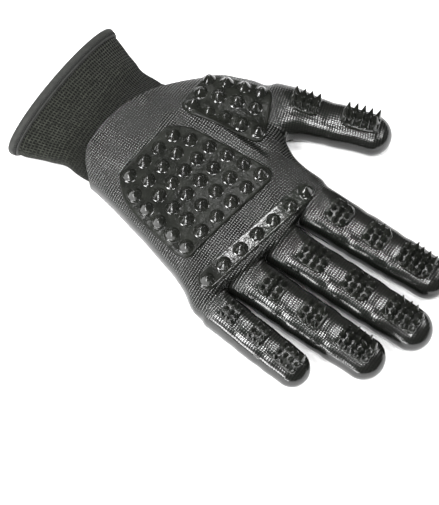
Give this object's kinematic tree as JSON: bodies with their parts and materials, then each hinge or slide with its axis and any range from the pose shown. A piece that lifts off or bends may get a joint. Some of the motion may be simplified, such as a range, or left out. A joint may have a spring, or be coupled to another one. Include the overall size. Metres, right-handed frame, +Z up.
{
  "type": "grooming glove",
  "caption": "Left-hand pet grooming glove, palm up: knitted and dip-coated, with a flared cuff, bound hem, hinged fingers and rubber nub and spike pads on the palm side.",
  "frame": {"origin": "middle of the footprint, on the floor under the back of the glove", "axes": "+X from the cuff to the middle fingertip, +Y to the thumb side, +Z up, out of the palm"},
  "size_m": [0.264, 0.1676, 0.0321],
  "materials": {
    "coated_knit": "thin glossy black dip coat over a fine knit",
    "cuff_knit": "matte ribbed elastic knit, dark green-grey",
    "binding": "matte grey overlocked binding",
    "rubber_pads": "moulded black rubber, satin to gloss"
  },
  "bodies": {
    "hand": {"hand_shell": "coated_knit", "cuff": "cuff_knit", "cuff_binding": "binding", "palm_pad": "rubber_pads", "thenar_pad": "rubber_pads", "knuckle_strip": "rubber_pads"},
    "index_proximal": {"index_proximal": "coated_knit", "index_proximal_pad": "rubber_pads"},
    "index_middle": {"index_middle": "coated_knit", "index_middle_pad": "rubber_pads"},
    "index_distal": {"index_distal": "coated_knit", "index_distal_pad": "rubber_pads"},
    "middle_proximal": {"middle_proximal": "coated_knit", "middle_proximal_pad": "rubber_pads"},
    "middle_middle": {"middle_middle": "coated_knit", "middle_middle_pad": "rubber_pads"},
    "middle_distal": {"middle_distal": "coated_knit", "middle_distal_pad": "rubber_pads"},
    "ring_proximal": {"ring_proximal": "coated_knit", "ring_proximal_pad": "rubber_pads"},
    "ring_middle": {"ring_middle": "coated_knit", "ring_middle_pad": "rubber_pads"},
    "ring_distal": {"ring_distal": "coated_knit", "ring_distal_pad": "rubber_pads"},
    "little_proximal": {"little_proximal": "coated_knit", "little_proximal_pad": "rubber_pads"},
    "little_middle": {"little_middle": "coated_knit", "little_middle_pad": "rubber_pads"},
    "little_distal": {"little_distal": "coated_knit", "little_distal_pad": "rubber_pads"},
    "thumb_proximal": {"thumb_proximal": "coated_knit", "thumb_proximal_pad": "rubber_pads"},
    "thumb_distal": {"thumb_distal": "coated_knit", "thumb_distal_pad": "rubber_pads"}
  },
  "joints": [
    {"name": "index_mcp", "type": "hinge", "parent": "hand", "child": "index_proximal", "pos_m": [0.03859, 0.01312, 0.0175], "axis": [0.0175, -0.9998, 0], "range_deg": [0, 70], "stiffness_Nm_per_rad": 0.01},
    {"name": "index_pip", "type": "hinge", "parent": "index_proximal", "child": "index_middle", "pos_m": [0.06359, 0.01356, 0.01632], "axis": [0.0175, -0.9998, 0], "range_deg": [0, 75], "stiffness_Nm_per_rad": 0.006},
    {"name": "index_dip", "type": "hinge", "parent": "index_middle", "child": "index_distal", "pos_m": [0.08858, 0.01399, 0.01515], "axis": [0.0175, -0.9998, 0], "range_deg": [0, 55], "stiffness_Nm_per_rad": 0.004},
    {"name": "middle_mcp", "type": "hinge", "parent": "hand", "child": "middle_proximal", "pos_m": [0.03959, -0.01718, 0.0175], "axis": [0, -1, 0], "range_deg": [0, 70], "stiffness_Nm_per_rad": 0.01},
    {"name": "middle_pip", "type": "hinge", "parent": "middle_proximal", "child": "middle_middle", "pos_m": [0.06909, -0.01718, 0.01622], "axis": [0, -1, 0], "range_deg": [0, 75], "stiffness_Nm_per_rad": 0.006},
    {"name": "middle_dip", "type": "hinge", "parent": "middle_middle", "child": "middle_distal", "pos_m": [0.09809, -0.01718, 0.01497], "axis": [0, -1, 0], "range_deg": [0, 55], "stiffness_Nm_per_rad": 0.004},
    {"name": "ring_mcp", "type": "hinge", "parent": "hand", "child": "ring_proximal", "pos_m": [0.03259, -0.04468, 0.017], "axis": [-0.0209, -0.9998, 0], "range_deg": [0, 70], "stiffness_Nm_per_rad": 0.01},
    {"name": "ring_pip", "type": "hinge", "parent": "ring_proximal", "child": "ring_middle", "pos_m": [0.05858, -0.04522, 0.0158], "axis": [-0.0209, -0.9998, 0], "range_deg": [0, 75], "stiffness_Nm_per_rad": 0.006},
    {"name": "ring_dip", "type": "hinge", "parent": "ring_middle", "child": "ring_distal", "pos_m": [0.08558, -0.04579, 0.01456], "axis": [-0.0209, -0.9998, 0], "range_deg": [0, 55], "stiffness_Nm_per_rad": 0.004},
    {"name": "little_mcp", "type": "hinge", "parent": "hand", "child": "little_proximal", "pos_m": [0.02559, -0.06948, 0.0155], "axis": [-0.0785, -0.9969, 0], "range_deg": [0, 70], "stiffness_Nm_per_rad": 0.01},
    {"name": "little_pip", "type": "hinge", "parent": "little_proximal", "child": "little_middle", "pos_m": [0.04503, -0.07101, 0.01443], "axis": [-0.0785, -0.9969, 0], "range_deg": [0, 70], "stiffness_Nm_per_rad": 0.006},
    {"name": "little_dip", "type": "hinge", "parent": "little_middle", "child": "little_distal", "pos_m": [0.06347, -0.07246, 0.01341], "axis": [-0.0785, -0.9969, 0], "range_deg": [0, 50], "stiffness_Nm_per_rad": 0.004},
    {"name": "thumb_mcp", "type": "hinge", "parent": "hand", "child": "thumb_proximal", "pos_m": [-0.01391, 0.05252, 0.018], "axis": [0.5736, -0.8192, 0], "range_deg": [0, 45], "stiffness_Nm_per_rad": 0.01},
    {"name": "thumb_ip", "type": "hinge", "parent": "thumb_proximal", "child": "thumb_distal", "pos_m": [0.01276, 0.06347, 0.0163], "axis": [0.3256, -0.9455, 0], "range_deg": [0, 70], "stiffness_Nm_per_rad": 0.006}
  ]
}
